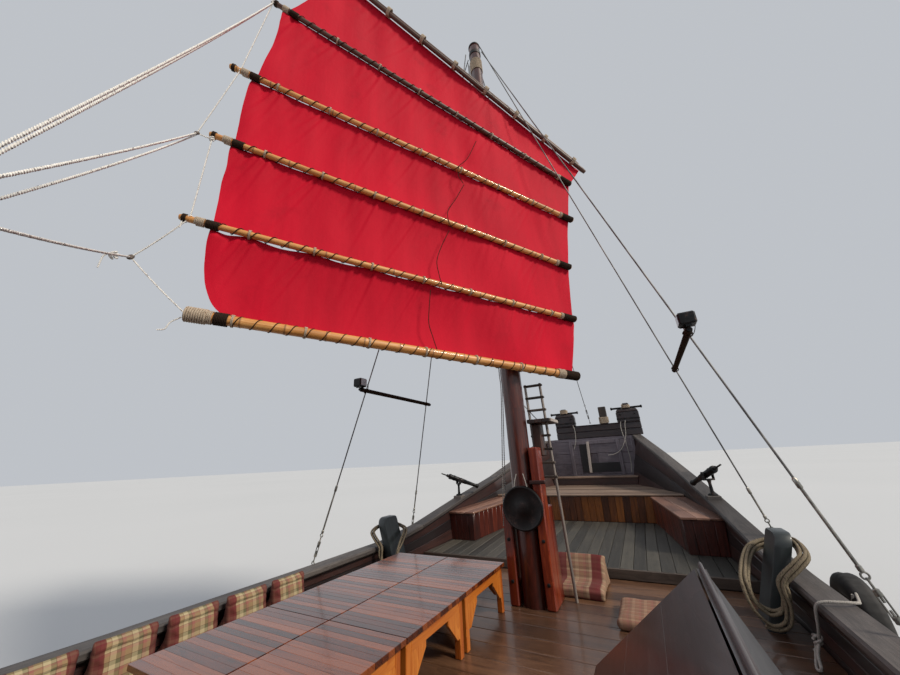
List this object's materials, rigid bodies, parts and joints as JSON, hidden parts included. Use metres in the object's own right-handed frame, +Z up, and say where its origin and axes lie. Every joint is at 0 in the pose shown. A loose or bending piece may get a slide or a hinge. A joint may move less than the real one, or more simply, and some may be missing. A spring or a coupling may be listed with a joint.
{
  "type": "wooden sailing boat with battened lug sails, a Chinese junk",
  "caption": "Chinese junk: dark wooden hull with a square bow and high stern, red battened lug sails, deckhouse, stern rudder and a long open deck with low tables and benches.",
  "frame": {"origin": "amidships on the centreline at the waterline", "axes": "+X forward to the bow, +Y to port, +Z up"},
  "size_m": [17.7903, 4.5863, 10.7776],
  "materials": {
    "hull_timber": "dark tarred and painted planking",
    "dark_timber": "weathered dark brown paint, worn at edges",
    "deck_teak": "brown athwart planks with dark seams",
    "grey_teak": "weathered grey-brown fore-and-aft planks",
    "red_varnish": "glossy dark red-brown varnish",
    "orange_varnish": "orange-brown varnished boards",
    "bow_paint": "weathered purple-grey paint",
    "spar_bamboo": "golden bamboo with dark joints",
    "spar_dark": "dark brown spar",
    "black_iron": "black painted iron, worn at edges",
    "steel_wire": "galvanised wire rope",
    "bronze": "dull cast bronze",
    "sail_cloth": "crimson canvas, creased",
    "plaid": "maroon, cream and olive check cotton",
    "rope": "cream-brown laid rope",
    "rubber": "black rubber, dull"
  },
  "bodies": {
    "hull_body": {"hull": "hull_timber", "bulwark_port": "hull_timber", "bulwark_starboard": "hull_timber", "rail_port": "dark_timber", "rail_starboard": "dark_timber", "deck_main": "deck_teak", "deck_fore": "grey_teak", "deck_poop": "deck_teak", "platform_fore": "orange_varnish", "bow_board": "bow_paint", "bow_bitts": "dark_timber", "stern_board": "dark_timber", "mast_main": "red_varnish", "mast_mizzen": "red_varnish", "mast_partners": "orange_varnish", "gong": "black_iron", "mast_ladder": "dark_timber", "stays_port": "steel_wire", "stays_starboard": "steel_wire", "forestay": "steel_wire", "house_front": "red_varnish", "house_back": "red_varnish", "house_port": "red_varnish", "house_starboard": "red_varnish", "house_roof": "dark_timber", "bench_port": "red_varnish", "bench_starboard": "red_varnish", "table_row_port": "red_varnish", "table_row_starboard": "red_varnish", "hatch_coaming": "dark_timber", "hatch_ridge": "bow_paint", "backrest_port": "plaid", "cushion_deck_1": "plaid", "cushion_deck_2": "plaid", "rope_hank_starboard": "rope", "rope_hank_port": "rope", "fender": "rubber"},
    "mainsail": {"sail_cloth": "sail_cloth", "sail_boom": "spar_bamboo", "sail_batten_1": "spar_bamboo", "sail_batten_2": "spar_bamboo", "sail_batten_3": "spar_bamboo", "sail_batten_4": "spar_bamboo", "sail_yard": "spar_dark"},
    "mizzen_sail": {"mizzen_cloth": "sail_cloth", "mizzen_boom": "spar_bamboo", "mizzen_batten_1": "spar_bamboo", "mizzen_batten_2": "spar_bamboo", "mizzen_yard": "spar_dark"},
    "rudder_body": {"rudder": "hull_timber", "tiller": "red_varnish"},
    "propeller_body": {"propeller": "bronze"},
    "gun_mount_port": {"gun_yoke_port": "black_iron"},
    "gun_port": {"gun_barrel_port": "black_iron"},
    "gun_mount_starboard": {"gun_yoke_starboard": "black_iron"},
    "gun_starboard": {"gun_barrel_starboard": "black_iron"},
    "hatch_port": {"hatch_lid_port": "dark_timber"},
    "hatch_starboard": {"hatch_lid_starboard": "dark_timber"},
    "door": {"house_door": "orange_varnish"}
  },
  "joints": [
    {"name": "mainsail_swing", "type": "hinge", "parent": "hull_body", "child": "mainsail", "pos_m": [2.42, 0, 3.3], "axis": [0, 0, 1], "range_deg": [-5, 66]},
    {"name": "mizzen_swing", "type": "hinge", "parent": "hull_body", "child": "mizzen_sail", "pos_m": [-6.9, 0, 4], "axis": [0, 0, 1], "range_deg": [-70, 86]},
    {"name": "rudder_turn", "type": "hinge", "parent": "hull_body", "child": "rudder_body", "pos_m": [-8.56, 0, 0.5], "axis": [0, 0, 1], "range_deg": [-35, 35]},
    {"name": "propeller_spin", "type": "hinge", "parent": "hull_body", "child": "propeller_body", "pos_m": [-7.3, 0, -0.76], "axis": [1, 0, 0], "continuous": true},
    {"name": "gun_port_yaw", "type": "hinge", "parent": "hull_body", "child": "gun_mount_port", "pos_m": [4.48, 1.84245, 1.78545], "axis": [0, 0, 1], "continuous": true},
    {"name": "gun_port_pitch", "type": "hinge", "parent": "gun_mount_port", "child": "gun_port", "pos_m": [4.48, 1.84245, 2.04545], "axis": [-0.6428, -0.766, 0], "range_deg": [0, 45]},
    {"name": "gun_starboard_yaw", "type": "hinge", "parent": "hull_body", "child": "gun_mount_starboard", "pos_m": [4.48, -1.84245, 1.78545], "axis": [0, 0, 1], "continuous": true},
    {"name": "gun_starboard_pitch", "type": "hinge", "parent": "gun_mount_starboard", "child": "gun_starboard", "pos_m": [4.48, -1.84245, 2.04545], "axis": [0.4226, -0.9063, 0], "range_deg": [0, 45]},
    {"name": "hatch_port_open", "type": "hinge", "parent": "hull_body", "child": "hatch_port", "pos_m": [0.09, -1.282, 1.81075], "axis": [1, 0, 0], "range_deg": [0, 100]},
    {"name": "hatch_starboard_open", "type": "hinge", "parent": "hull_body", "child": "hatch_starboard", "pos_m": [0.09, -1.338, 1.77842], "axis": [-1, 0, 0], "range_deg": [0, 100]},
    {"name": "door_open", "type": "hinge", "parent": "hull_body", "child": "door", "pos_m": [-1.752, -0.353, 1.9], "axis": [0, 0, -1], "range_deg": [0, 110]}
  ]
}
